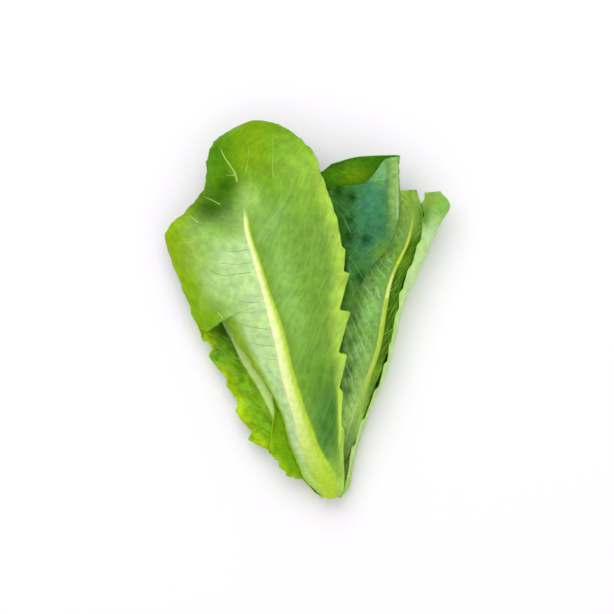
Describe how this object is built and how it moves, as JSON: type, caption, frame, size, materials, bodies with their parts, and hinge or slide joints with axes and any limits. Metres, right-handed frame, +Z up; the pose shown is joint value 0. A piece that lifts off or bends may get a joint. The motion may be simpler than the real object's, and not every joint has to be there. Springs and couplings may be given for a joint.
{
  "type": "romaine lettuce head",
  "caption": "Small loose romaine lettuce head lying on its back leaf: long ribbed leaves with waved, toothed edges, nested round a short cut stem.",
  "frame": {"origin": "on the resting surface, under the middle of the head's bounding box", "axes": "+Y from the cut butt to the leaf tips, along the head's length; +Z up from the resting surface, with the front leaf on top; +X to the right when it is seen from above with the tips away"},
  "size_m": [0.1875, 0.2493, 0.0532],
  "materials": {
    "front_leaf": "soft wax sheen, pale glaucous left half, net of fine pale veins, yellow-green margin",
    "left_leaf": "soft sheen, bright green with a net of pale veins and a ragged margin",
    "heart_leaf": "soft sheen, young yellow-green with fine veins",
    "right_inner_leaf": "blue-green blistered outer side, deep green inner side, soft sheen",
    "right_middle_leaf": "crinkled mid green with pale veins and a pale thin rib",
    "right_outer_leaf": "pale glaucous outer side with a smooth broad rib",
    "stem": "pale cut flesh, slightly browned at the rim"
  },
  "bodies": {
    "root": {"front_leaf": "front_leaf", "front_inner_leaf": "front_leaf", "back_leaf": "front_leaf", "left_leaf": "left_leaf", "heart_leaf_left": "heart_leaf", "heart_leaf_middle": "heart_leaf", "heart_leaf_back": "heart_leaf", "right_inner_leaf": "right_inner_leaf", "right_middle_leaf": "right_middle_leaf", "right_outer_leaf": "right_outer_leaf", "stem_butt": "stem"}
  },
  "joints": []
}
